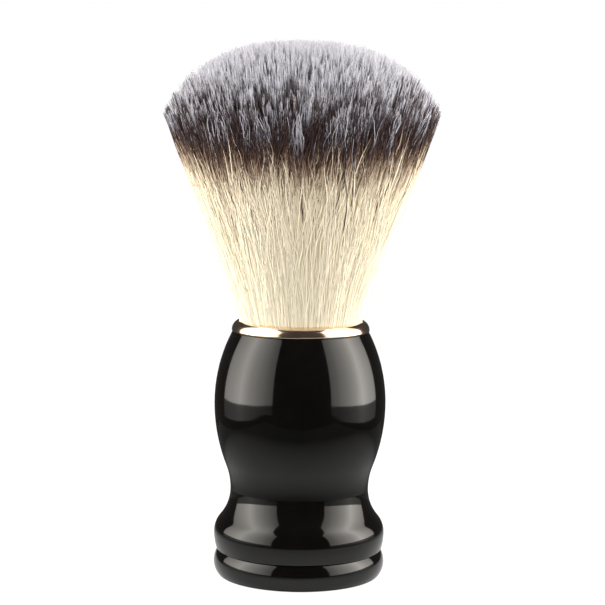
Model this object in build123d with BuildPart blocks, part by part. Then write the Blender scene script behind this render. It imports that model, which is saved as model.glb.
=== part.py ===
from build123d import *
import math
import os

# Shaving brush: a gloss-black turned handle on a separate foot, a gold collar ring, and a knot of
# badger hair that fans out to a domed top. Millimetres, +Z up. The origin is the centre of the base,
# on the surface that the brush stands on, and everything is turned about the Z axis.

# ---- Driving dimensions ----

# Handle outline, as (radius, height): its widest and narrowest circles, from the foot to the rim
FOOT_BASE = (16.15, 0.0)
FOOT_CROWN = (17.2, 2.6)
FOOT_TOP = (16.35, 5.2)
BODY_BASE = (16.65, 5.2)
SHOULDER = (17.18, 8.6)
WAIST = (13.9, 17.4)
BELLY = (17.2, 34.8)
RIM = (13.67, 49.2)
SHOULDER_SHARE = 0.34  # how far from shoulder to waist the curve turns from crown to cove
WAIST_SHARE = 0.28  # how far from waist to belly the curve turns from cove to crown
EDGE_ROUND = 0.4
RIM_ROUND = 0.2

# Knot, ferrule and socket
KNOT_R = 12.0  # a standard 24 mm knot, over its ferrule
FERRULE_WALL = 0.5
FERRULE_FLOOR = 0.8
FERRULE_TOP = 47.0
GLUE = 0.25
SOCKET_FLOOR = 35.0
PLUG_TOP = 43.0
ROOT_BASE = 38.0
ROOT_TOP = 46.0
ROOT_R = 10.6  # hair packed tight in the potting
TIE_BASE = 43.7
TIE_TURNS = 4
TIE_PITCH = 0.5
TIE_THREAD_R = 0.3

# Collar ring: a bead on the rim, widest near its foot and rounded over above that, with a thin skirt
# inside it
RING_BORE_R = 12.3
RING_SKIRT_R = 12.6
RING_R = 13.8
RING_TOP = 51.4
RING_FOOT_ROUND = 0.35
SKIRT_BASE = 47.2

# Hair outline above the ring, as (radius, height)
HAIR_COLLAR = (12.2, 49.2)
HAIR_START = (12.25, 51.4)
HAIR_FLARE = (16.2, 64.5)
HAIR_START_LEAN = 13.0  # degrees outward from vertical
HAIR_EDGE = (27.3, 91.5)
HAIR_RIM = (27.1, 94.0)
HAIR_DOME = (10.0, 106.0)
HAIR_TOP = 106.7

# The hair bends about a point at the ring's top. Inside ROOT_SPHERE_R of it the hair stays with the
# handle, outside LOFT_SPHERE_R it moves.
FLEX_Z = 51.4
ROOT_SPHERE_R = 19.7
LOFT_SPHERE_R = 20.0

# Foot, weight and fixings
BORE_R = 9.6
BORE_TOP = 28.0
SPIGOT_R = 9.45
SPIGOT_TOP = 10.5
SEAL_SECTION_R = 0.75
SEAL_Z = 7.7
SEAL_GROOVE_WIDTH = 1.65
PAD_R = 12.4
PAD_THICKNESS = 1.2
PAD_RECESS_R = 12.5
HEAD_R = 3.8
HEAD_BASE = 1.4
HEAD_TOP = 3.9
HEAD_POCKET_R = 4.2
HEX_ACROSS_FLATS = 3.0
HEX_DEPTH = 1.5
WASHER_R = 4.1
WASHER_TOP = 4.7
SCREW_R = 2.0
SCREW_TIP = 33.0
SCREW_HOLE_R = 2.25
INSERT_R = 2.8
INSERT_LENGTH = 6.0
INSERT_HOLE_DEPTH = 6.4
INSERT_GROOVE = 0.3
WEIGHT_R = 9.4
WEIGHT_TOP = 27.4
WEIGHT_PAD_BORE_R = 3.2
EDGE_BREAK = 0.3


os.makedirs("parts", exist_ok=True)


def between(low, high, share):
    """The point at this share of the way from one (radius, height) to another."""
    return tuple(a + share * (b - a) for a, b in zip(low, high))


# ---- Handle ----


def handle_outline():
    """The body's turned outside: a crown at the shoulder, a cove at the waist and a crown at the belly."""
    lower_turn = between(SHOULDER, WAIST, SHOULDER_SHARE)
    upper_turn = between(WAIST, BELLY, WAIST_SHARE)
    TangentArc(SHOULDER, BODY_BASE, tangent=(0, -1))
    TangentArc(SHOULDER, lower_turn, tangent=(0, 1))
    TangentArc(WAIST, lower_turn, tangent=(0, -1))
    TangentArc(WAIST, upper_turn, tangent=(0, 1))
    TangentArc(BELLY, upper_turn, tangent=(0, -1))
    TangentArc(BELLY, RIM, tangent=(0, 1))
    Polyline(RIM, (0, RIM[1]), (0, BODY_BASE[1]), BODY_BASE)


with BuildPart() as handle_body:
    with BuildSketch(Plane.XZ):
        with BuildLine():
            handle_outline()
        make_face()
    revolve(axis=Axis.Z)
    # socket for the knot, with a rebate at the rim for the ring's skirt
    with BuildSketch(Plane.XY.offset(SOCKET_FLOOR)):
        Circle(KNOT_R + GLUE)
    extrude(amount=RIM[1] - SOCKET_FLOOR, mode=Mode.SUBTRACT)
    with BuildSketch(Plane.XY.offset(SKIRT_BASE)):
        Circle(RING_SKIRT_R)
    extrude(amount=RIM[1] - SKIRT_BASE, mode=Mode.SUBTRACT)
    # bore for the foot's spigot and the weight, with a blind hole for the insert at its top
    with BuildSketch(Plane.XY.offset(BODY_BASE[1])):
        Circle(BORE_R)
    extrude(amount=BORE_TOP - BODY_BASE[1], mode=Mode.SUBTRACT)
    with BuildSketch(Plane.XY.offset(BORE_TOP)):
        Circle(INSERT_R)
    extrude(amount=INSERT_HOLE_DEPTH, mode=Mode.SUBTRACT)
    bottom_edges = handle_body.edges().filter_by(GeomType.CIRCLE).group_by(Axis.Z)[0]
    fillet(bottom_edges.sort_by(SortBy.RADIUS)[-1], radius=EDGE_ROUND)
    top_edges = handle_body.edges().filter_by(GeomType.CIRCLE).group_by(Axis.Z)[-1]
    fillet(top_edges.sort_by(SortBy.RADIUS)[-1], radius=RIM_ROUND)
handle_body.part.label = "handle_body"
export_step(handle_body.part, "parts/handle_body.step")


# ---- Foot ----

with BuildPart() as foot_cap:
    with BuildSketch(Plane.XZ):
        with BuildLine():
            TangentArc(FOOT_CROWN, FOOT_BASE, tangent=(0, -1))
            TangentArc(FOOT_CROWN, FOOT_TOP, tangent=(0, 1))
            Polyline(
                FOOT_TOP,
                (SPIGOT_R, FOOT_TOP[1]),
                (SPIGOT_R, SPIGOT_TOP),
                (0, SPIGOT_TOP),
                (0, 0),
                FOOT_BASE,
            )
        make_face()
    revolve(axis=Axis.Z)
    base_edges = foot_cap.edges().filter_by(GeomType.CIRCLE).group_by(Axis.Z)[0]
    fillet(base_edges.sort_by(SortBy.RADIUS)[-1], radius=EDGE_ROUND)
    spigot_edges = foot_cap.edges().filter_by(GeomType.CIRCLE).group_by(Axis.Z)[-1]
    chamfer(spigot_edges, length=EDGE_BREAK)
    # recess for the pad, pocket for the screw's head, and the screw's clearance hole
    with BuildSketch(Plane.XY):
        Circle(PAD_RECESS_R)
    extrude(amount=PAD_THICKNESS, mode=Mode.SUBTRACT)
    with BuildSketch(Plane.XY):
        Circle(HEAD_POCKET_R)
    extrude(amount=WASHER_TOP, mode=Mode.SUBTRACT)
    with BuildSketch(Plane.XY):
        Circle(SCREW_HOLE_R)
    extrude(amount=SPIGOT_TOP, mode=Mode.SUBTRACT)
    # groove for the seal
    with BuildSketch(Plane.XZ):
        with Locations((SPIGOT_R, SEAL_Z)):
            Rectangle(2 * (SPIGOT_R - BORE_R + 2 * SEAL_SECTION_R), SEAL_GROOVE_WIDTH)
    revolve(axis=Axis.Z, mode=Mode.SUBTRACT)
foot_cap.part.label = "foot_cap"
export_step(foot_cap.part, "parts/foot_cap.step")

with BuildPart() as foot_seal:
    with BuildSketch(Plane.XZ):
        with Locations((BORE_R - SEAL_SECTION_R, SEAL_Z)):
            Circle(SEAL_SECTION_R)
    revolve(axis=Axis.Z)
foot_seal.part.label = "foot_seal"
export_step(foot_seal.part, "parts/foot_seal.step")

with BuildPart() as base_pad:
    with BuildSketch(Plane.XY):
        Circle(PAD_R)
    extrude(amount=PAD_THICKNESS)
    chamfer(base_pad.edges().group_by(Axis.Z)[0], length=EDGE_BREAK)
base_pad.part.label = "base_pad"
export_step(base_pad.part, "parts/base_pad.step")


# ---- Weight and fixings ----

with BuildPart() as weight_slug:
    with BuildSketch(Plane.XY.offset(SPIGOT_TOP)):
        Circle(WEIGHT_R)
        Circle(SCREW_HOLE_R, mode=Mode.SUBTRACT)
    extrude(amount=WEIGHT_TOP - SPIGOT_TOP)
    outer_edges = weight_slug.edges().filter_by(GeomType.CIRCLE).group_by(SortBy.RADIUS)[-1]
    chamfer(outer_edges, length=EDGE_BREAK)
weight_slug.part.label = "weight_slug"
export_step(weight_slug.part, "parts/weight_slug.step")

with BuildPart() as weight_pad:
    with BuildSketch(Plane.XY.offset(WEIGHT_TOP)):
        Circle(WEIGHT_R)
        Circle(WEIGHT_PAD_BORE_R, mode=Mode.SUBTRACT)
    extrude(amount=BORE_TOP - WEIGHT_TOP)
weight_pad.part.label = "weight_pad"
export_step(weight_pad.part, "parts/weight_pad.step")

with BuildPart() as thread_insert:
    with BuildSketch(Plane.XY.offset(BORE_TOP)):
        Circle(INSERT_R)
        Circle(SCREW_R, mode=Mode.SUBTRACT)
    extrude(amount=INSERT_LENGTH)
    # two grooves, which key the insert into the handle
    with BuildSketch(Plane.XZ):
        for share in (1 / 3, 2 / 3):
            with Locations((INSERT_R, BORE_TOP + share * INSERT_LENGTH)):
                Rectangle(2 * INSERT_GROOVE, 2 * INSERT_GROOVE)
    revolve(axis=Axis.Z, mode=Mode.SUBTRACT)
thread_insert.part.label = "thread_insert"
export_step(thread_insert.part, "parts/thread_insert.step")

with BuildPart() as foot_screw:
    with BuildSketch(Plane.XY.offset(HEAD_BASE)):
        Circle(HEAD_R)
    extrude(amount=HEAD_TOP - HEAD_BASE)
    chamfer(foot_screw.edges().group_by(Axis.Z)[0], length=EDGE_BREAK)
    with BuildSketch(Plane.XY.offset(HEAD_TOP)):
        Circle(SCREW_R)
    extrude(amount=SCREW_TIP - HEAD_TOP)
    chamfer(foot_screw.edges().group_by(Axis.Z)[-1], length=EDGE_BREAK)
    with BuildSketch(Plane.XY.offset(HEAD_BASE)):
        RegularPolygon(HEX_ACROSS_FLATS / 2, 6, major_radius=False)
    extrude(amount=HEX_DEPTH, mode=Mode.SUBTRACT)
foot_screw.part.label = "foot_screw"
export_step(foot_screw.part, "parts/foot_screw.step")

with BuildPart() as sealing_washer:
    with BuildSketch(Plane.XY.offset(HEAD_TOP)):
        Circle(WASHER_R)
        Circle(SCREW_R, mode=Mode.SUBTRACT)
    extrude(amount=WASHER_TOP - HEAD_TOP)
sealing_washer.part.label = "sealing_washer"
export_step(sealing_washer.part, "parts/sealing_washer.step")


# ---- Collar ring ----

ring_widest = RIM[1] + RING_FOOT_ROUND

with BuildPart() as collar_ring:
    with BuildSketch(Plane.XZ):
        with BuildLine():
            CenterArc(
                (RING_R - RING_FOOT_ROUND, ring_widest),
                RING_FOOT_ROUND,
                start_angle=270,
                arc_size=90,
            )
            TangentArc(
                (RING_R, ring_widest),
                (RING_SKIRT_R, RING_TOP),
                tangent=(0, 1),
            )
            Polyline(
                (RING_SKIRT_R, RING_TOP),
                (RING_BORE_R, RING_TOP),
                (RING_BORE_R, SKIRT_BASE),
                (RING_SKIRT_R, SKIRT_BASE),
                (RING_SKIRT_R, RIM[1]),
                (RING_R - RING_FOOT_ROUND, RIM[1]),
            )
        make_face()
    revolve(axis=Axis.Z)
collar_ring.part.label = "collar_ring"
export_step(collar_ring.part, "parts/collar_ring.step")


# ---- Knot fixing ----

with BuildPart() as socket_adhesive:
    with BuildSketch(Plane.XY.offset(SOCKET_FLOOR)):
        Circle(KNOT_R + GLUE)
    extrude(amount=FERRULE_TOP - SOCKET_FLOOR)
    with BuildSketch(Plane.XY.offset(SOCKET_FLOOR + GLUE)):
        Circle(KNOT_R)
    extrude(amount=FERRULE_TOP - SOCKET_FLOOR, mode=Mode.SUBTRACT)
socket_adhesive.part.label = "socket_adhesive"
export_step(socket_adhesive.part, "parts/socket_adhesive.step")

FERRULE_BASE = SOCKET_FLOOR + GLUE
with BuildPart() as knot_ferrule:
    with BuildSketch(Plane.XY.offset(FERRULE_BASE)):
        Circle(KNOT_R)
    extrude(amount=FERRULE_TOP - FERRULE_BASE)
    with BuildSketch(Plane.XY.offset(FERRULE_BASE + FERRULE_FLOOR)):
        Circle(KNOT_R - FERRULE_WALL)
    extrude(amount=FERRULE_TOP - FERRULE_BASE, mode=Mode.SUBTRACT)
knot_ferrule.part.label = "knot_ferrule"
export_step(knot_ferrule.part, "parts/knot_ferrule.step")

with BuildPart() as knot_plug:
    with BuildSketch(Plane.XY.offset(FERRULE_BASE + FERRULE_FLOOR)):
        Circle(KNOT_R - FERRULE_WALL)
    extrude(amount=PLUG_TOP - FERRULE_BASE - FERRULE_FLOOR)
    with BuildSketch(Plane.XY.offset(ROOT_BASE)):
        Circle(ROOT_R)
    extrude(amount=PLUG_TOP - ROOT_BASE, mode=Mode.SUBTRACT)
knot_plug.part.label = "knot_plug"
export_step(knot_plug.part, "parts/knot_plug.step")

with BuildPart() as binding_thread:
    with BuildSketch(Plane.XZ):
        for turn in range(TIE_TURNS):
            with Locations((ROOT_R + TIE_THREAD_R, TIE_BASE + turn * TIE_PITCH)):
                Circle(TIE_THREAD_R)
    revolve(axis=Axis.Z)
binding_thread.part.label = "binding_thread"
export_step(binding_thread.part, "parts/binding_thread.step")


# ---- Hair ----


def hair_outline():
    """The whole knot's outside, from its potted root to the top of the dome."""
    lean = math.radians(HAIR_START_LEAN)
    Polyline(
        (0, HAIR_TOP),
        (0, ROOT_BASE),
        (ROOT_R, ROOT_BASE),
        (ROOT_R, ROOT_TOP),
        HAIR_COLLAR,
        HAIR_START,
    )
    TangentArc(HAIR_START, HAIR_FLARE, tangent=(math.sin(lean), math.cos(lean)))
    Line(HAIR_FLARE, HAIR_EDGE)
    crown = TangentArc((0, HAIR_TOP), HAIR_DOME, tangent=(1, 0))
    dome = TangentArc(HAIR_DOME, HAIR_RIM, tangent=crown % 1)
    TangentArc(HAIR_RIM, HAIR_EDGE, tangent=dome % 1)


with BuildPart() as bristle_root:
    with BuildSketch(Plane.XZ):
        with BuildLine():
            hair_outline()
        make_face()
    revolve(axis=Axis.Z)
    with Locations((0, 0, FLEX_Z)):
        Sphere(ROOT_SPHERE_R, mode=Mode.INTERSECT)
bristle_root.part.label = "bristle_root"
export_step(bristle_root.part, "parts/bristle_root.step")

with BuildPart() as bristle_loft:
    with BuildSketch(Plane.XZ):
        with BuildLine():
            hair_outline()
        make_face()
    revolve(axis=Axis.Z)
    with Locations((0, 0, FLEX_Z)):
        Sphere(LOFT_SPHERE_R, mode=Mode.SUBTRACT)
bristle_loft.part.label = "bristle_loft"
export_step(bristle_loft.part, "parts/bristle_loft.step")
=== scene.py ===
import math

import bpy
import numpy as np
from mathutils.kdtree import KDTree
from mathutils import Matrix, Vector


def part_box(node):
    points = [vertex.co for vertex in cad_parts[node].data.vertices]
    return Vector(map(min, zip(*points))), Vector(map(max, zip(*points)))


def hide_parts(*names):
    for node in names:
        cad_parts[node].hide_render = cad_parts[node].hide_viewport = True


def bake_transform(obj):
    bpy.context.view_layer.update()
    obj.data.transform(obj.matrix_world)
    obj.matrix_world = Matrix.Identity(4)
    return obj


# The looks of a shaving brush: a gloss-black resin handle, a pale gold collar ring and a fan of
# badger hair. Everything is in metres in the CAD frame, +Z up, standing on z = 0, with the camera
# on the -Y side. Colours are linear.

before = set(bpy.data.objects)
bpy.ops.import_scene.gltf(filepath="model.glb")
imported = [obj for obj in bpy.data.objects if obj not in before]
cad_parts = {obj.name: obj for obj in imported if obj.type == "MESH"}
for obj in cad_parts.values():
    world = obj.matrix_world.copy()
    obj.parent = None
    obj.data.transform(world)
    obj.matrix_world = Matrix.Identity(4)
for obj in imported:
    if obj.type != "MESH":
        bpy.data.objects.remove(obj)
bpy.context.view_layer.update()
MM = 0.001
rng = np.random.default_rng(7)

# ---- Hair's outline, from the frame ----

ring_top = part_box("collar_ring")[1].z
loft_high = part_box("bristle_loft")[1]
HAIR_TOP = loft_high.z
FAN_R = loft_high.x
RIM_Z = HAIR_TOP - 14.3 * MM  # the fan is widest here, and the dome starts
HIDDEN = 3.0 * MM  # how far the hair goes on, out of sight inside the ring
ROOT_Z = ring_top - HIDDEN
COLLAR_R = 12.2 * MM  # the knot where it leaves the ring
FAN_SLOPE = 0.40  # outward run per rise, away from the ring
COLLAR_SLOPE = 0.20  # and close to it
FLARE = 5.0 * MM  # how fast one turns into the other
DOME_POWER, DOME_ROUND = 2.6, 0.75  # how flat the dome's top is, and how round its edge
BISECTIONS = 30


def fan_radius(z):
    """The knot's outer radius at a height, as a cone that flares out of the ring."""
    rise = np.maximum(z - ring_top, -HIDDEN)
    settled = 1 - np.exp(-np.maximum(rise, 0) / FLARE)
    return COLLAR_R + FAN_SLOPE * rise - (FAN_SLOPE - COLLAR_SLOPE) * FLARE * settled


def dome_height(r):
    """The height of the trimmed dome at a radius, level with the rim beyond the fan."""
    inside = np.clip(1 - (r / FAN_R) ** DOME_POWER, 0, 1)
    return RIM_Z + (HAIR_TOP - RIM_Z) * inside**DOME_ROUND


def tip_height(share):
    """Where hairs at this share of the fan's radius meet the dome."""
    low = np.full_like(share, RIM_Z - 0.1 * MM)  # a little under any tip
    high = np.full_like(share, HAIR_TOP)
    for _ in range(BISECTIONS):
        middle = (low + high) / 2
        below = middle < dome_height(share * fan_radius(middle))
        low, high = np.where(below, middle, low), np.where(below, high, middle)
    return low


# ---- Camera ----

CAMERA_PLACE = (0.31 * MM, -362.2 * MM, 92.7 * MM)
CAMERA_PITCH, CAMERA_ROLL = 5.946, 0.54  # degrees down and to the side
LENS, SENSOR = 108.3, 36.0
NEAR_CLIP, FAR_CLIP = 0.01, 20.0


def make_camera():
    """A long lens, level with the upper part of the hair and looking slightly down."""
    data = bpy.data.cameras.new("camera")
    data.lens = LENS
    data.sensor_width = SENSOR
    data.clip_start = NEAR_CLIP
    data.clip_end = FAR_CLIP
    camera = bpy.data.objects.new("camera", data)
    bpy.context.scene.collection.objects.link(camera)
    pitch, roll = math.radians(CAMERA_PITCH), math.radians(CAMERA_ROLL)
    camera.location = CAMERA_PLACE
    camera.rotation_euler = (math.pi / 2 - pitch, 0.0, 0.0)
    camera.rotation_euler.rotate_axis("Z", roll)
    bpy.context.scene.camera = camera


# ---- Studio ----

# The world's colours and strengths
FILL = (0.985, 1.0, 1.02), 1.20
GLOOM = (0.050, 0.046, 0.044), 1.0
WHITE = (1, 1, 1), 1.0


def background(nodes, colour, strength):
    """A world background node of one colour."""
    node = nodes.new("ShaderNodeBackground")
    node.inputs["Color"].default_value = (*colour, 1)
    node.inputs["Strength"].default_value = strength
    return node


def make_world():
    """White behind the brush for the camera, dark in reflections, and otherwise a soft fill."""
    world = bpy.data.worlds.new("studio")
    world.use_nodes = True
    nodes, links = world.node_tree.nodes, world.node_tree.links
    nodes.clear()
    path = nodes.new("ShaderNodeLightPath")
    fill = background(nodes, *FILL)
    dark = background(nodes, *GLOOM)
    white = background(nodes, *WHITE)
    glossy_mix = nodes.new("ShaderNodeMixShader")
    links.new(path.outputs["Is Glossy Ray"], glossy_mix.inputs["Fac"])
    links.new(fill.outputs[0], glossy_mix.inputs[1])
    links.new(dark.outputs[0], glossy_mix.inputs[2])
    camera_mix = nodes.new("ShaderNodeMixShader")
    links.new(path.outputs["Is Camera Ray"], camera_mix.inputs["Fac"])
    links.new(glossy_mix.outputs[0], camera_mix.inputs[1])
    links.new(white.outputs[0], camera_mix.inputs[2])
    out = nodes.new("ShaderNodeOutputWorld")
    links.new(camera_mix.outputs[0], out.inputs["Surface"])
    bpy.context.scene.world = world
    bpy.context.scene.view_settings.view_transform = "Standard"


def ramp(nodes, *stops):
    """A colour ramp through (place, colour) stops. A plain number stands for a grey."""
    node = nodes.new("ShaderNodeValToRGB")
    elements = node.color_ramp.elements
    while len(elements) < len(stops):
        elements.new(0.5)
    for element, (place, colour) in zip(elements, stops):
        element.position = place
        rgb = (colour,) * 3 if isinstance(colour, (int, float)) else colour
        element.color = (*rgb, 1)
    return node


def math_node(tree, operation, *values):
    """A maths node on numbers and sockets. It returns its output socket."""
    node = tree.nodes.new("ShaderNodeMath")
    node.operation = operation
    for socket, value in zip(node.inputs, values):
        if isinstance(value, (int, float)):
            socket.default_value = value
        else:
            tree.links.new(value, socket)
    return node.outputs[0]


# The softboxes in plan: each one's front end, which is further off, and the back end of both.
# +X is outward.
LEFT_FRONT, RIGHT_FRONT, SOFTBOX_BACK = (0.282, -0.388), (0.267, -0.305), (0.194, 0.103)
SOFTBOX_FOOT, SOFTBOX_TOP = -40 * MM, 480 * MM
SOFTBOX_COLOUR = (1.0, 0.955, 0.885)
LEFT_POWER, RIGHT_POWER = 5.4, 5.4
# How bright a softbox is along its length, from its front end to its back end
SOFTBOX_FADE = (
    (0.0, 0.19),
    (0.25, 0.29),
    (0.47, 0.48),
    (0.62, 0.70),
    (0.74, 1.0),
    (0.86, 0.58),
    (1.0, 0.25),
)
SKIRT_TOP = 17 * MM  # below this the softbox is dim
SKIRT_RISE = 30 * MM  # how much shallower the skirt is at the back end
SKIRT_GLOW = 0.13


def softbox(name, side, front_end, power):
    """An upright softbox to the left (-1) or right (1) of the brush, brightest beside it and fading
    towards its ends, with a dim skirt along its foot."""
    front, back = ((side * x, y) for x, y in (front_end, SOFTBOX_BACK))
    run_x, run_y = back[0] - front[0], back[1] - front[1]
    height = SOFTBOX_TOP - SOFTBOX_FOOT
    data = bpy.data.lights.new(name, "AREA")
    data.shape = "RECTANGLE"
    data.size = math.hypot(run_x, run_y)
    data.size_y = height
    data.energy = power
    data.color = SOFTBOX_COLOUR
    data.use_nodes = True
    tree = data.node_tree
    place = tree.nodes.new("ShaderNodeTexCoord")
    axes = tree.nodes.new("ShaderNodeSeparateXYZ")
    tree.links.new(place.outputs["UV"], axes.inputs[0])
    backward = axes.outputs["X"]
    if side < 0:
        backward = math_node(tree, "SUBTRACT", 1.0, backward)
    fade = ramp(tree.nodes, *SOFTBOX_FADE)
    tree.links.new(backward, fade.inputs["Fac"])
    above = math_node(tree, "GREATER_THAN", axes.outputs["Y"], (SKIRT_TOP - SOFTBOX_FOOT) / height)
    hem = math_node(tree, "MULTIPLY", backward, SKIRT_RISE / height)
    skirt = math_node(tree, "GREATER_THAN", axes.outputs["Y"], hem)
    glow = math_node(tree, "MULTIPLY", skirt, SKIRT_GLOW)
    lit = math_node(tree, "MULTIPLY_ADD", above, 1 - SKIRT_GLOW, glow)
    strength = math_node(tree, "MULTIPLY", fade.outputs["Color"], lit)
    tree.links.new(strength, tree.nodes["Emission"].inputs["Strength"])
    light = bpy.data.objects.new(name, data)
    bpy.context.scene.collection.objects.link(light)
    middle_x, middle_y = (front[0] + back[0]) / 2, (front[1] + back[1]) / 2
    light.location = (middle_x, middle_y, SOFTBOX_FOOT + height / 2)
    light.rotation_euler = (math.pi / 2, 0, math.atan2(side * run_y, side * run_x))
    light.visible_camera = False


def stage_sheet(name, half_size, z):
    """A level square under the brush: its object and its node tree."""
    h = half_size
    mesh = bpy.data.meshes.new(name)
    mesh.from_pydata([(-h, -h, z), (h, -h, z), (h, h, z), (-h, h, z)], [], [(0, 1, 2, 3)])
    sheet = bpy.data.objects.new(name, mesh)
    bpy.context.scene.collection.objects.link(sheet)
    paper = bpy.data.materials.new(name + "_paper")
    paper.use_nodes = True
    shader = paper.node_tree.nodes["Principled BSDF"]
    shader.inputs["Roughness"].default_value = 1.0
    shader.inputs["Specular IOR Level"].default_value = 0.0
    mesh.materials.append(paper)
    return sheet, paper.node_tree


FLOOR_REACH = 300 * MM
FLOOR_GREY = (0.10, 0.10, 0.10)
FLOOR_GLOW = 0.93


def make_floor():
    """A floor as white as the background, with only the brush's faint shadow on it."""
    floor, tree = stage_sheet("floor", FLOOR_REACH, 0.0)
    shader = tree.nodes["Principled BSDF"]
    shader.inputs["Base Color"].default_value = (*FLOOR_GREY, 1)
    shader.inputs["Emission Color"].default_value = (1, 1, 1, 1)
    shader.inputs["Emission Strength"].default_value = FLOOR_GLOW
    floor.visible_glossy = False
    floor.visible_diffuse = False


REFLECTOR_WIDE, REFLECTOR_DEEP = 110 * MM, 80 * MM
REFLECTOR_Z = -0.5 * MM
# A painted pool of light in the sheet's colour, from its middle outwards: pale near the brush, dark
# further off
REFLECTOR_PAINTED_POOL = ((0.15, 0.75), (0.35, 0.50), (0.60, 0.29), (0.95, 0.06))


def make_reflector():
    """An oval of paper seen only in the handle and the ring, with a painted pool of light in its
    colour: pale in the middle and fading to dark outwards.
    """
    card, tree = stage_sheet("reflector", REFLECTOR_WIDE, REFLECTOR_Z)
    place = tree.nodes.new("ShaderNodeTexCoord")
    scaled = tree.nodes.new("ShaderNodeVectorMath")
    scaled.operation = "DIVIDE"
    scaled.inputs[1].default_value = (REFLECTOR_WIDE, REFLECTOR_DEEP, 1)
    tree.links.new(place.outputs["Object"], scaled.inputs[0])
    away = tree.nodes.new("ShaderNodeVectorMath")
    away.operation = "LENGTH"
    tree.links.new(scaled.outputs["Vector"], away.inputs[0])
    # painted pool of light: the sheet's colour is pale near the brush and dark further off
    shade = ramp(tree.nodes, *REFLECTOR_PAINTED_POOL)
    tree.links.new(away.outputs["Value"], shade.inputs["Fac"])
    tree.links.new(shade.outputs["Color"], tree.nodes["Principled BSDF"].inputs["Base Color"])
    card.visible_camera = False
    card.visible_shadow = False


def make_studio():
    make_world()
    softbox("softbox_left", -1, LEFT_FRONT, LEFT_POWER)
    softbox("softbox_right", 1, RIGHT_FRONT, RIGHT_POWER)
    make_floor()
    make_reflector()


# ---- Solid parts' materials ----

ROUND = (1, 1, 1)
TURNED = (1, 1, 12)  # grains stretched around the axis, like the marks of a lathe
PLAIN, METAL = 0.0, 1.0
# The part of a texture's range that a material's two values are spread over
GRAIN_LOW, GRAIN_HIGH = 0.3, 0.7
GRAIN_DETAIL = 4.0

# Each material's two colours
BLACK_RESIN = (0.0012, 0.0011, 0.0010), (0.0022, 0.0019, 0.0017)
PALE_GOLD = (0.86, 0.68, 0.51), (0.97, 0.79, 0.62)
BLACK_RUBBER = (0.016, 0.016, 0.017), (0.032, 0.031, 0.031)
NYLON = (0.62, 0.61, 0.56), (0.76, 0.75, 0.70)
TURNED_STEEL = (0.40, 0.39, 0.385), (0.56, 0.55, 0.54)
ZINC_PLATE = (0.56, 0.60, 0.66), (0.76, 0.77, 0.74)
GREY_FOAM = (0.05, 0.05, 0.052), (0.17, 0.17, 0.17)
BRASS = (0.66, 0.45, 0.18), (0.82, 0.61, 0.28)
AMBER_EPOXY = (0.30, 0.13, 0.025), (0.55, 0.29, 0.07)
CLEAR_EPOXY = (0.60, 0.56, 0.44), (0.78, 0.75, 0.64)
BLACK_FERRULE = (0.010, 0.010, 0.011), (0.024, 0.024, 0.025)
WAXED_THREAD = (0.36, 0.29, 0.19), (0.68, 0.60, 0.45)


def textured(
    name, colours, roughness, grain, relief, metallic=PLAIN, stretch=ROUND, cells=False, ior=1.5
):
    """A material whose colour and roughness drift between two values over grains of this size, with
    the same grains standing out by the relief. Its grains are noise, or cells for a foam."""
    material = bpy.data.materials.new(name)
    material.use_nodes = True
    tree = material.node_tree
    nodes, links = tree.nodes, tree.links
    shader = nodes["Principled BSDF"]
    shader.inputs["Metallic"].default_value = metallic
    shader.inputs["IOR"].default_value = ior
    place = nodes.new("ShaderNodeTexCoord")
    stretched = nodes.new("ShaderNodeMapping")
    stretched.inputs["Scale"].default_value = stretch
    links.new(place.outputs["Object"], stretched.inputs["Vector"])
    if cells:
        texture = nodes.new("ShaderNodeTexVoronoi")
        pattern = texture.outputs["Distance"]
    else:
        texture = nodes.new("ShaderNodeTexNoise")
        texture.inputs["Detail"].default_value = GRAIN_DETAIL
        pattern = texture.outputs["Fac"]
    texture.inputs["Scale"].default_value = 1 / grain
    links.new(stretched.outputs["Vector"], texture.inputs["Vector"])
    colour = ramp(nodes, (GRAIN_LOW, colours[0]), (GRAIN_HIGH, colours[1]))
    links.new(pattern, colour.inputs["Fac"])
    links.new(colour.outputs["Color"], shader.inputs["Base Color"])
    wear = nodes.new("ShaderNodeMapRange")
    wear.inputs["From Min"].default_value = GRAIN_LOW
    wear.inputs["From Max"].default_value = GRAIN_HIGH
    wear.inputs["To Min"].default_value = roughness[0]
    wear.inputs["To Max"].default_value = roughness[1]
    links.new(pattern, wear.inputs["Value"])
    links.new(wear.outputs["Result"], shader.inputs["Roughness"])
    bump = nodes.new("ShaderNodeBump")
    bump.inputs["Strength"].default_value = 1.0
    bump.inputs["Distance"].default_value = relief
    links.new(pattern, bump.inputs["Height"])
    links.new(bump.outputs["Normal"], shader.inputs["Normal"])
    return material


def dress(material, *nodes):
    """Gives CAD nodes this material in all their slots."""
    for node in nodes:
        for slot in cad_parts[node].material_slots:
            slot.material = material


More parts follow.
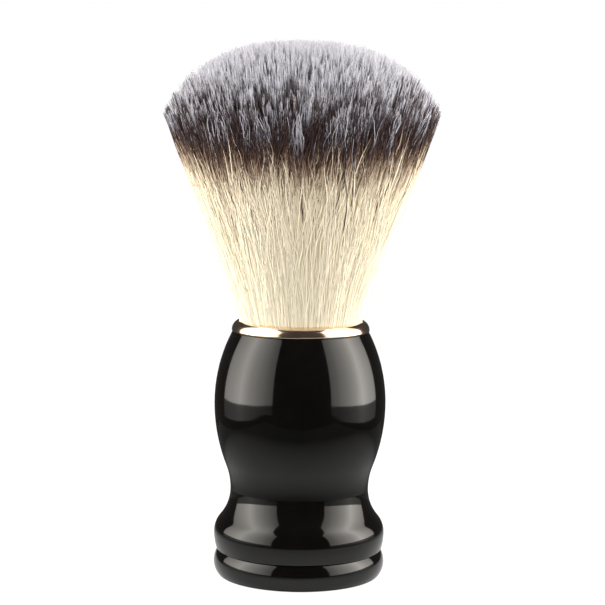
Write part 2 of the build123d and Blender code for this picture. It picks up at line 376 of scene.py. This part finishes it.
def dress_solids():
    resin = textured("black_resin", BLACK_RESIN, (0.055, 0.085), 4 * MM, 0.001 * MM, ior=1.46)
    dress(resin, "handle_body", "foot_cap")
    gold = textured("pale_gold", PALE_GOLD, (0.10, 0.17), 2 * MM, 0.002 * MM, METAL, TURNED)
    dress(gold, "collar_ring")
    rubber = textured("black_rubber", BLACK_RUBBER, (0.62, 0.82), 0.5 * MM, 0.02 * MM)
    dress(rubber, "foot_seal", "base_pad")
    nylon = textured("nylon", NYLON, (0.32, 0.48), 0.8 * MM, 0.006 * MM)
    dress(nylon, "sealing_washer")
    steel = textured("turned_steel", TURNED_STEEL, (0.28, 0.42), 2 * MM, 0.01 * MM, METAL, TURNED)
    dress(steel, "weight_slug")
    zinc = textured("zinc_plate", ZINC_PLATE, (0.22, 0.38), 1.2 * MM, 0.004 * MM, METAL)
    dress(zinc, "foot_screw")
    foam = textured("grey_foam", GREY_FOAM, (0.90, 1.0), 0.45 * MM, 0.12 * MM, cells=True)
    dress(foam, "weight_pad")
    brass = textured("machined_brass", BRASS, (0.22, 0.38), 1.5 * MM, 0.006 * MM, METAL, TURNED)
    dress(brass, "thread_insert")
    amber = textured("amber_epoxy", AMBER_EPOXY, (0.18, 0.34), 3 * MM, 0.02 * MM)
    dress(amber, "knot_plug")
    clear = textured("clear_epoxy", CLEAR_EPOXY, (0.14, 0.30), 3 * MM, 0.02 * MM)
    dress(clear, "socket_adhesive")
    ferrule = textured("black_ferrule", BLACK_FERRULE, (0.38, 0.55), 0.8 * MM, 0.006 * MM)
    dress(ferrule, "knot_ferrule")
    thread = textured("waxed_thread", WAXED_THREAD, (0.45, 0.70), 0.35 * MM, 0.03 * MM)
    dress(thread, "binding_thread")


# ---- Hair's colours ----

# Along one hair, from root to tip
TONES = (
    (0.00, (0.825, 0.745, 0.56)),
    (0.12, (0.755, 0.66, 0.49)),
    (0.26, (0.43, 0.325, 0.225)),
    (0.40, (0.17, 0.100, 0.068)),
    (0.52, (0.048, 0.024, 0.018)),
    (0.62, (0.045, 0.028, 0.028)),
    (0.75, (0.125, 0.110, 0.133)),
    (0.88, (0.278, 0.271, 0.309)),
    (1.00, (0.487, 0.481, 0.530)),
)
DARK = 0.57  # the dark band's place in that range
TONE_STEPS = 18
# From hair to hair, darkest first, and how common each is
TINTS = ((0.91, 0.895, 0.86), (0.96, 0.95, 0.935), (1.0, 1.0, 1.0), (1.03, 1.04, 1.07))
TINT_ODDS = (0.25, 0.33, 0.3, 0.12)
BRIGHTEST = 0.97  # no tinted tone goes past this
HAIR_ROUGHNESS, HAIR_SPECULAR = 0.42, 0.25


def make_hair_materials():
    """One material for each step of tone in each tint. A hair keeps its tint and runs through
    the tones."""
    places, colours = np.array([t[0] for t in TONES]), np.array([t[1] for t in TONES])
    made = []
    for i, tint in enumerate(TINTS):
        for step in range(TONE_STEPS):
            place = step / (TONE_STEPS - 1)
            tone = [float(np.interp(place, places, channel)) for channel in colours.T]
            rgb = [min(value * share, BRIGHTEST) for value, share in zip(tone, tint)]
            material = bpy.data.materials.new(f"hair_{step:02d}_{i + 1}")
            material.use_nodes = True
            shader = material.node_tree.nodes["Principled BSDF"]
            shader.inputs["Base Color"].default_value = (*rgb, 1)
            shader.inputs["Roughness"].default_value = HAIR_ROUGHNESS
            shader.inputs["Specular IOR Level"].default_value = HAIR_SPECULAR
            made.append(material)
    return made


# ---- Hair's shapes ----

SUMMED = 3  # how many sine waves a hair's wave is made of
SUMMED_SHARE = 0.6  # and how large each is beside it


def waves(z, amount, shortest, longest):
    """For each hair, a sum of sine waves of random length and phase along its heights."""
    total = np.zeros_like(z)
    for _ in range(SUMMED):
        length = rng.uniform(shortest, longest, (len(z), 1))
        phase = rng.uniform(0, 2 * np.pi, (len(z), 1))
        total += SUMMED_SHARE * amount * np.sin(2 * np.pi * z / length + phase)
    return total


def gather(tips, area, spacing):
    """Clumps about this far apart: each hair's clump, and the way from its tip to the middle of
    that clump."""
    middles = tips[rng.choice(len(tips), int(area / spacing**2), replace=False)]
    tree = KDTree(len(middles))
    for i, middle in enumerate(middles):
        tree.insert(middle, i)
    tree.balance()
    clump = np.array([tree.find(tip)[1] for tip in tips])
    return clump, (middles[clump] - tips)[:, :2]


TIP_LIFT = 0.3 * MM  # the longest hairs stand this far over the dome
TIP_SCATTER = 0.12 * MM
MOST_TRIMMED = 5 * MM
MOST_RAGGED = 3  # times the usual
RING_EASE = 1.3  # a hair's points are closer together towards its tip
SMALL_CLUMP, LARGE_CLUMP = 0.85 * MM, 2.4 * MM
SMALL_PULL, LARGE_PULL = 0.5, 0.25  # how far the tips are drawn to the middles of their clumps
PULL_SPREAD = 0.5, 1.2
PULL_POWER = 4  # how late on the way up they are drawn
# The hairs' sideways waves: their size as a share of the hair's wave, and their shortest and
# longest length. The shared waves are the same throughout a large clump.
SHARED, SHARED_LENGTHS = 0.5, (12 * MM, 30 * MM)
OWN, OWN_LENGTHS = 0.5, (7 * MM, 15 * MM)
FINE, FINE_LENGTHS = 0.15, (4 * MM, 7 * MM)
# The same for their waves in and out, and how far these are under the surface
DEPTH, DEPTH_LENGTHS = 0.12, (20 * MM, 40 * MM)
INSET = 0.2


def grow(share, angle, area, length, rings, wave, lean, whole, drop, ragged):
    """Hairs at these shares of the fan's radius and angles about the axis. Returns each hair's row
    of points, as many as rings, from its lower end to its tip, and each hair's small clump.

    area: what the tips cover, for the number of clumps
    length: the most a hair reaches down from its tip
    wave: how large the hair's waves are
    lean: how far the roots are turned about the axis from the tips, more or less, in radians
    whole: the share of hairs that reach the dome. The others end lower by about drop.
    ragged: how much lower whole clumps end, more or less"""
    count = len(share)
    top = tip_height(share)
    tip_r = share * fan_radius(top)
    tips = np.stack([tip_r * np.cos(angle), tip_r * np.sin(angle), top], 1)
    small, to_small = gather(tips, area, SMALL_CLUMP)
    large, to_large = gather(tips, area, LARGE_CLUMP)
    short = rng.uniform(0, 1, count) > whole
    top = top + TIP_LIFT + rng.normal(0, TIP_SCATTER, count)
    top = top - short * np.minimum(rng.exponential(drop, count), MOST_TRIMMED)
    top -= ragged * np.minimum(rng.exponential(1, small.max() + 1), MOST_RAGGED)[small]
    bottom = np.maximum(top - length, ROOT_Z)
    t = 1 - (1 - np.linspace(0, 1, rings)) ** RING_EASE
    z = bottom[:, None] + (top - bottom)[:, None] * t
    reach = np.clip((z - ring_top) / (RIM_Z - ring_top), 0, 1)
    draw = (to_small * SMALL_PULL + to_large * LARGE_PULL)[:, None]
    draw = draw * rng.uniform(*PULL_SPREAD, (count, 1, 1))
    drawn = draw * reach[:, :, None] ** PULL_POWER
    shared = waves(z, wave, *SHARED_LENGTHS)[large]
    sway = SHARED * shared + waves(z, OWN * wave, *OWN_LENGTHS)
    sway = sway + waves(z, FINE * wave, *FINE_LENGTHS)
    depth = waves(z, DEPTH * wave, *DEPTH_LENGTHS) - INSET * wave
    turned = angle[:, None] + (lean * rng.normal(0, 1, count))[:, None] * (1 - reach)
    radius = share[:, None] * fan_radius(z) + depth * reach
    x = radius * np.cos(turned) - sway * np.sin(turned) * reach + drawn[:, :, 0]
    y = radius * np.sin(turned) + sway * np.cos(turned) * reach + drawn[:, :, 1]
    return np.stack([x, y, z], 2), small


# How far a hair's dark band starts from its usual height, in mm: the spread between clumps and
# between hairs, and the shares of hairs that start it much lower or higher, by so much
EDGE_BY_CLUMP, EDGE_BY_HAIR = 0.9, 1.1
STRAYS, STRAY_RANGE = 0.045, (3, 15)
LATES, LATE_RANGE = 0.12, (1.5, 4.5)
FADE_SPREAD = 0.25
EARLY_DARK = 0.2  # how far towards the dark tone a hair drifts on its way up to the band
# Which hairs have light tips, how much longer or shorter those are, and how long they fade
RANK_BY_CLUMP, RANK_BY_HAIR, RANK_SCALE = 0.8, 0.5, 0.6
LENGTH_BY_CLUMP, LENGTH_BY_HAIR, LENGTH_LIMIT = 0.4, 0.3, 1.5
LIGHT_FADE, LIGHT_FADE_SPREAD = 0.9, 0.3
# The lowest that a light tip goes below the band's edge, and how far above that it is whole
LIGHT_BELOW, LIGHT_WITHIN = 1 * MM, 4 * MM
# The very end of a dark-tipped hair: how light, how long, and how long it fades
DULL_TIP, DULL_LENGTH, DULL_FADE = 0.35, 0.3 * MM, 0.8 * MM


def tone_rows(points, clump, light_share, dark_edge, edge_fade, light_tip, palest):
    """Which material each stretch of each hair has, from its height and its distance from the tip.

    light_share: for each hair, how many of those like it have a long light tip. The others are
        only a little lighter at the very end.
    dark_edge: for each hair, the height where the dark band starts, after a fade of edge_fade
    light_tip: how long the light tips are
    palest: which hairs take the palest tint"""
    count = len(points)
    middle = (points[:, 1:] + points[:, :-1]) / 2
    height = middle[:, :, 2]
    from_tip = np.linalg.norm(points[:, -1:] - middle, axis=2)
    per_clump = rng.normal(0, 1, (clump.max() + 1, 3))[clump]
    stray = (rng.uniform(0, 1, count) < STRAYS) * rng.uniform(*STRAY_RANGE, count)
    late = (rng.uniform(0, 1, count) < LATES) * rng.uniform(*LATE_RANGE, count)
    moved = EDGE_BY_CLUMP * per_clump[:, 0] + EDGE_BY_HAIR * rng.normal(0, 1, count)
    moved = moved + late - stray
    edge = dark_edge + moved * MM
    soft = edge_fade * rng.lognormal(0, FADE_SPREAD, count)
    rise = np.clip((height - edge[:, None] + soft[:, None]) / soft[:, None], 0, 1)
    early = EARLY_DARK * (height - ring_top) / (dark_edge[:, None] - ring_top)
    rise = np.maximum(rise, early)
    rank = RANK_BY_CLUMP * per_clump[:, 1] + RANK_BY_HAIR * rng.normal(0, 1, count)
    light = rank < RANK_SCALE * np.log(light_share / (1 - light_share))
    by_clump = LENGTH_BY_CLUMP * np.clip(per_clump[:, 2], -LENGTH_LIMIT, LENGTH_LIMIT)
    longer = np.exp(by_clump + LENGTH_BY_HAIR * rng.normal(0, 1, count))
    tip = np.where(light, light_tip, DULL_LENGTH) * longer
    fade = np.where(light, LIGHT_FADE * light_tip, DULL_FADE)
    fade = fade * rng.lognormal(0, LIGHT_FADE_SPREAD, count)
    fall = np.clip(1 - (from_tip - tip[:, None]) / fade[:, None], 0, 1)
    in_band = np.clip((height - edge[:, None] + LIGHT_BELOW) / LIGHT_WITHIN, 0, 1)
    fall = np.minimum(fall, in_band)
    place = DARK * rise + (1 - DARK) * fall * np.where(light, 1, DULL_TIP)[:, None]
    dither = rng.uniform(-0.5, 0.5, (count, 1))
    last = TONE_STEPS - 1
    step = np.clip(np.round(place * last + dither), 0, last).astype(int)
    tint = np.where(palest, len(TINTS) - 1, rng.choice(len(TINTS), count, p=TINT_ODDS))
    return step + TONE_STEPS * tint[:, None]


def add_piece(name, mesh):
    """A new object with this mesh."""
    piece = bpy.data.objects.new(name, mesh)
    bpy.context.scene.collection.objects.link(piece)
    return piece


SIDES = 3


def strands(name, points, thickness, tones, materials):
    """A mesh of thin hairs with flat sides, closed at both ends. Their tones are the numbers of
    the materials of their stretches."""
    count, rings = points.shape[:2]
    along = np.gradient(points, axis=1)
    along /= np.linalg.norm(along, axis=2, keepdims=True)
    angle = np.arctan2(points[:, -1, 1], points[:, -1, 0])
    side = np.stack([-np.sin(angle), np.cos(angle), 0 * angle], 1)[:, None]
    across = side - (side * along).sum(2, keepdims=True) * along
    across /= np.linalg.norm(across, axis=2, keepdims=True)
    other = np.cross(along, across)
    around = np.arange(SIDES)
    turn = rng.uniform(0, 2 * np.pi, (count, 1, 1, 1)) + around[:, None] * 2 * np.pi / SIDES
    outward = np.cos(turn) * across[:, :, None] + np.sin(turn) * other[:, :, None]
    corners = points[:, :, None] + thickness[:, :, None, None] / 2 * outward
    after = (around + 1) % SIDES
    low = (np.arange(count)[:, None, None] * rings + np.arange(rings - 1)[:, None]) * SIDES
    high = low + SIDES
    quads = np.stack([low + around, low + after, high + after, high + around], 3)
    ends = np.arange(count)[:, None] * rings * SIDES
    low_caps, top_caps = ends + around[::-1], ends + (rings - 1) * SIDES + around
    corner_list = np.concatenate([quads.ravel(), low_caps.ravel(), top_caps.ravel()])
    quad_count = count * (rings - 1) * SIDES
    cap_starts = quad_count * 4 + np.arange(count * 2) * SIDES
    starts = np.concatenate([np.arange(quad_count) * 4, cap_starts])
    side_slots = tones[:, :, None].repeat(SIDES, 2)
    slots = np.concatenate([side_slots.ravel(), tones[:, 0], tones[:, -1]])
    mesh = bpy.data.meshes.new(name)
    mesh.vertices.add(count * rings * SIDES)
    mesh.vertices.foreach_set("co", corners.astype(np.float32).ravel())
    mesh.loops.add(len(corner_list))
    mesh.loops.foreach_set("vertex_index", corner_list.astype(np.int32))
    mesh.polygons.add(len(starts))
    mesh.polygons.foreach_set("loop_start", starts.astype(np.int32))
    for material in materials:
        mesh.materials.append(material)
    mesh.polygons.foreach_set("material_index", slots.astype(np.int32))
    mesh.polygons.foreach_set("use_smooth", np.ones(len(starts), bool))
    mesh.update(calc_edges=True)
    return add_piece(name, mesh)


def settle(piece):
    """Bakes a hair piece's placement into its mesh and hides the imported hair that the pieces
    stand in for.
    """
    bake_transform(piece)
    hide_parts("bristle_root", "bristle_loft")


def settle_pieces(name, count, points, thickness, tones, materials):
    """Divides the hairs into this many numbered pieces."""
    for i, part in enumerate(np.array_split(np.arange(len(points)), count)):
        hairs = points[part], thickness[part], tones[part]
        settle(strands(f"{name}_{i + 1}", *hairs, materials))


MANTLE_COUNT, MANTLE_RINGS, MANTLE_PIECES = 6400, 26, 5
MANTLE_DEPTH, MANTLE_CROWDING = 0.028, 1.2  # a share of the fan's radius, and towards its outside
CLUMPED_DEPTH = 1.1 * MM  # what its clumps are counted over
ENDLESS = 1.0  # longer than any hair, so that they all start inside the ring
MANTLE_WAVE = 0.8 * MM
MANTLE_WHOLE, MANTLE_DROP, MANTLE_RAGGED = 0.1, 3.0 * MM, 0.6 * MM
MANTLE_WIDTH, MANTLE_WIDTH_SPREAD = 0.20 * MM, (0.75, 1.35)
MANTLE_TAPER = (0, 0.6, 1), (1.0, 0.9, 0.35)
MANTLE_LIGHT_SHARE, MANTLE_LIGHT_TIP = 0.25, 3.6 * MM
CROSSING, CROSSING_SHARE = 0.13, 1.006  # how many cross the rest, and how far out
LEAN, CROSSING_LEAN = 0.12, 0.24
BAND_EDGE, BAND_FADE = 85.8 * MM, 9.6 * MM  # the dark band's lower edge, and the fade below it
BAND_RISE, BAND_RISE_POWER = 2.1 * MM, 4  # it is that much higher at the left and right


def make_mantle(materials):
    """The outside of the fan: long hairs from the ring to the rim. Some pale ones cross over."""
    share = 1 - MANTLE_DEPTH * rng.uniform(0, 1, MANTLE_COUNT) ** MANTLE_CROWDING
    angle = rng.uniform(0, 2 * np.pi, MANTLE_COUNT)
    area = 2 * np.pi * FAN_R * CLUMPED_DEPTH
    crossing = rng.uniform(0, 1, MANTLE_COUNT) < CROSSING
    share = np.where(crossing, CROSSING_SHARE, share)
    lean = np.where(crossing, CROSSING_LEAN, LEAN)
    cut = MANTLE_WHOLE, MANTLE_DROP, MANTLE_RAGGED
    points, clump = grow(share, angle, area, ENDLESS, MANTLE_RINGS, MANTLE_WAVE, lean, *cut)
    light_share = np.full(MANTLE_COUNT, MANTLE_LIGHT_SHARE)
    dark_edge = BAND_EDGE + BAND_RISE * np.cos(angle) ** BAND_RISE_POWER
    band = dark_edge, BAND_FADE, MANTLE_LIGHT_TIP
    tones = tone_rows(points, clump, light_share, *band, crossing)
    width = MANTLE_WIDTH * rng.uniform(*MANTLE_WIDTH_SPREAD, (MANTLE_COUNT, 1))
    thickness = width * np.interp(np.linspace(0, 1, MANTLE_RINGS)[None], *MANTLE_TAPER)
    settle_pieces("hair_fan", MANTLE_PIECES, points, thickness, tones, materials)


DOME_COUNT, DOME_RINGS, DOME_PIECES = 34000, 6, 6
DOME_REACH = 0.9995  # a share of the fan's radius
DOME_SAMPLES = 400
STEEPEST = 4  # the most that a slope multiplies the hairs on it by, seen from above
DOME_LENGTH, DOME_WAVE = 14 * MM, 0.35 * MM
DOME_DROP = 1.6 * MM
DOME_WIDTH, DOME_WIDTH_SPREAD = 0.12 * MM, (0.75, 1.25)
DOME_TAPER = (0, 0.5, 1), (1.0, 1.0, 0.40)
DOME_DARK_EDGE = 60.0 * MM  # under all of the dome's hairs, so that they are dark up to their tips
DOME_FADE, DOME_LIGHT_TIP = 4.0 * MM, 2.2 * MM
# Where its tips get rougher, and over what further share of the radius. How ragged they are in mm
# and how many are whole: in the middle, and the change towards the rim.
ROUGH_FROM, ROUGH_OVER = 0.55, 0.4
RAGGED, MORE_RAGGED = 0.08, 0.7
WHOLE, LESS_WHOLE = 0.65, 0.35
# The same for how many tips are light
LIGHT_FROM, LIGHT_OVER = 0.68, 0.30
LIGHT, LESS_LIGHT = 0.97, 0.72


def make_dome(materials):
    """The top of the fan: the upper part of the hairs that end all over the dome."""
    radii = np.linspace(0, FAN_R * DOME_REACH, DOME_SAMPLES)
    steepness = np.hypot(1, np.gradient(dome_height(radii), radii))
    area = np.cumsum(radii * np.minimum(steepness, STEEPEST))
    tip_r = np.interp(rng.uniform(0, area[-1], DOME_COUNT), area, radii)
    share = tip_r / fan_radius(dome_height(tip_r))
    angle = rng.uniform(0, 2 * np.pi, DOME_COUNT)
    rough = np.clip((share - ROUGH_FROM) / ROUGH_OVER, 0, 1)
    cut = WHOLE - LESS_WHOLE * rough, DOME_DROP, (RAGGED + MORE_RAGGED * rough) * MM
    disc = np.pi * FAN_R**2
    points, clump = grow(share, angle, disc, DOME_LENGTH, DOME_RINGS, DOME_WAVE, 0.0, *cut)
    light_share = LIGHT - LESS_LIGHT * np.clip((share - LIGHT_FROM) / LIGHT_OVER, 0, 1)
    band = np.full(DOME_COUNT, DOME_DARK_EDGE), DOME_FADE, DOME_LIGHT_TIP
    tones = tone_rows(points, clump, light_share, *band, False)
    width = DOME_WIDTH * rng.uniform(*DOME_WIDTH_SPREAD, (DOME_COUNT, 1))
    thickness = width * np.interp(np.linspace(0, 1, DOME_RINGS)[None], *DOME_TAPER)
    settle_pieces("hair_dome", DOME_PIECES, points, thickness, tones, materials)


# The core's colours, from the ring to the top of the hair
CORE_COLOURS = (
    (0.0, (0.84, 0.77, 0.60)),
    (0.43, (0.79, 0.70, 0.52)),
    (0.53, (0.40, 0.29, 0.19)),
    (0.62, (0.04, 0.022, 0.017)),
    (0.68, (0.05, 0.035, 0.033)),
    (0.80, (0.17, 0.16, 0.175)),
    (0.93, (0.47, 0.46, 0.50)),
)
STREAK_WIDTH, STREAK_STRETCH, STREAK_DETAIL = 0.7 * MM, (1, 1, 0.1), 6.0
STREAK_SHADE = (0.42, 0.15), (0.58, 1.0)
STREAK_STRENGTH = (0.70, 0.2), (0.80, 1.0)  # faint below the tips, where hardly any core shows
CORE_RELIEF = 0.1 * MM
CORE_ROUGHNESS = 0.8


def core_material():
    """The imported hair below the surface, streaked and speckled: cream low down, then dark brown,
    and grey under the tips."""
    material = bpy.data.materials.new("hair_core")
    material.use_nodes = True
    nodes, links = material.node_tree.nodes, material.node_tree.links
    shader = nodes["Principled BSDF"]
    place = nodes.new("ShaderNodeTexCoord")
    axes = nodes.new("ShaderNodeSeparateXYZ")
    links.new(place.outputs["Object"], axes.inputs[0])
    height = nodes.new("ShaderNodeMapRange")
    height.inputs["From Min"].default_value = ring_top
    height.inputs["From Max"].default_value = HAIR_TOP
    links.new(axes.outputs["Z"], height.inputs["Value"])
    colour = ramp(nodes, *CORE_COLOURS)
    links.new(height.outputs[0], colour.inputs["Fac"])
    stretched = nodes.new("ShaderNodeMapping")
    stretched.inputs["Scale"].default_value = STREAK_STRETCH
    links.new(place.outputs["Object"], stretched.inputs["Vector"])
    streaks = nodes.new("ShaderNodeTexNoise")
    streaks.inputs["Scale"].default_value = 1 / STREAK_WIDTH
    streaks.inputs["Detail"].default_value = STREAK_DETAIL
    links.new(stretched.outputs["Vector"], streaks.inputs["Vector"])
    shade = ramp(nodes, *STREAK_SHADE)
    links.new(streaks.outputs["Fac"], shade.inputs["Fac"])
    streaked = nodes.new("ShaderNodeMix")
    streaked.data_type = "RGBA"
    streaked.blend_type = "MULTIPLY"
    strength = ramp(nodes, *STREAK_STRENGTH)
    links.new(height.outputs[0], strength.inputs["Fac"])
    links.new(strength.outputs["Color"], streaked.inputs["Factor"])
    links.new(colour.outputs["Color"], streaked.inputs["A"])
    links.new(shade.outputs["Color"], streaked.inputs["B"])
    links.new(streaked.outputs["Result"], shader.inputs["Base Color"])
    bump = nodes.new("ShaderNodeBump")
    bump.inputs["Distance"].default_value = CORE_RELIEF
    links.new(streaks.outputs["Fac"], bump.inputs["Height"])
    links.new(bump.outputs["Normal"], shader.inputs["Normal"])
    shader.inputs["Roughness"].default_value = CORE_ROUGHNESS
    return material


CORE_SIDES, CORE_ROWS, LID_ROWS = 96, 24, 20
CORE_TOP = RIM_Z - 5 * MM  # the height of the core's edge
CORE_SHARES = (80 * MM, CORE_TOP), (0.975, 0.93)  # of the fan's radius, at these heights
# How far the core's lid is below the dome: in the middle, and as much more at its rim
LID_DEPTH, LID_FALL = 4.0 * MM, 5.5 * MM
LID_REACH = 0.98  # the share of the fan's radius that the lid's shape is taken from


def make_core():
    """The knot's solid middle, which the outer hairs hide."""
    sides = CORE_SIDES
    rise = np.linspace(ROOT_Z, CORE_TOP, CORE_ROWS)
    inner = np.interp(rise, *CORE_SHARES)
    profile = [(float(i * fan_radius(z)), float(z)) for i, z in zip(inner, rise)]
    edge_r = profile[-1][0]
    for outward in np.linspace(1, 0, LID_ROWS)[1:]:
        below = LID_DEPTH + LID_FALL * outward**2
        lid = float(dome_height(outward * FAN_R * LID_REACH)) - below
        profile.append((float(edge_r * outward), max(lid, profile[-1][1])))
    corners = [(0.0, 0.0, ROOT_Z)]
    angles = np.arange(sides) * 2 * math.pi / sides
    for r, z in profile[:-1]:
        corners += [(r * math.cos(a), r * math.sin(a), z) for a in angles]
    corners.append((0.0, 0.0, profile[-1][1]))
    faces = [(0, 1 + (i + 1) % sides, 1 + i) for i in range(sides)]
    for row in range(len(profile) - 2):
        a, b = 1 + row * sides, 1 + (row + 1) * sides
        for i in range(sides):
            after = (i + 1) % sides
            faces.append((a + i, a + after, b + after, b + i))
    last = 1 + (len(profile) - 2) * sides
    faces += [(last + i, last + (i + 1) % sides, len(corners) - 1) for i in range(sides)]
    mesh = bpy.data.meshes.new("hair_core")
    mesh.from_pydata(corners, [], faces)
    mesh.materials.append(core_material())
    mesh.polygons.foreach_set("use_smooth", np.ones(len(faces), bool))
    settle(add_piece("hair_core", mesh))


make_camera()
make_studio()
dress_solids()
hair_materials = make_hair_materials()
make_core()
make_mantle(hair_materials)
make_dome(hair_materials)
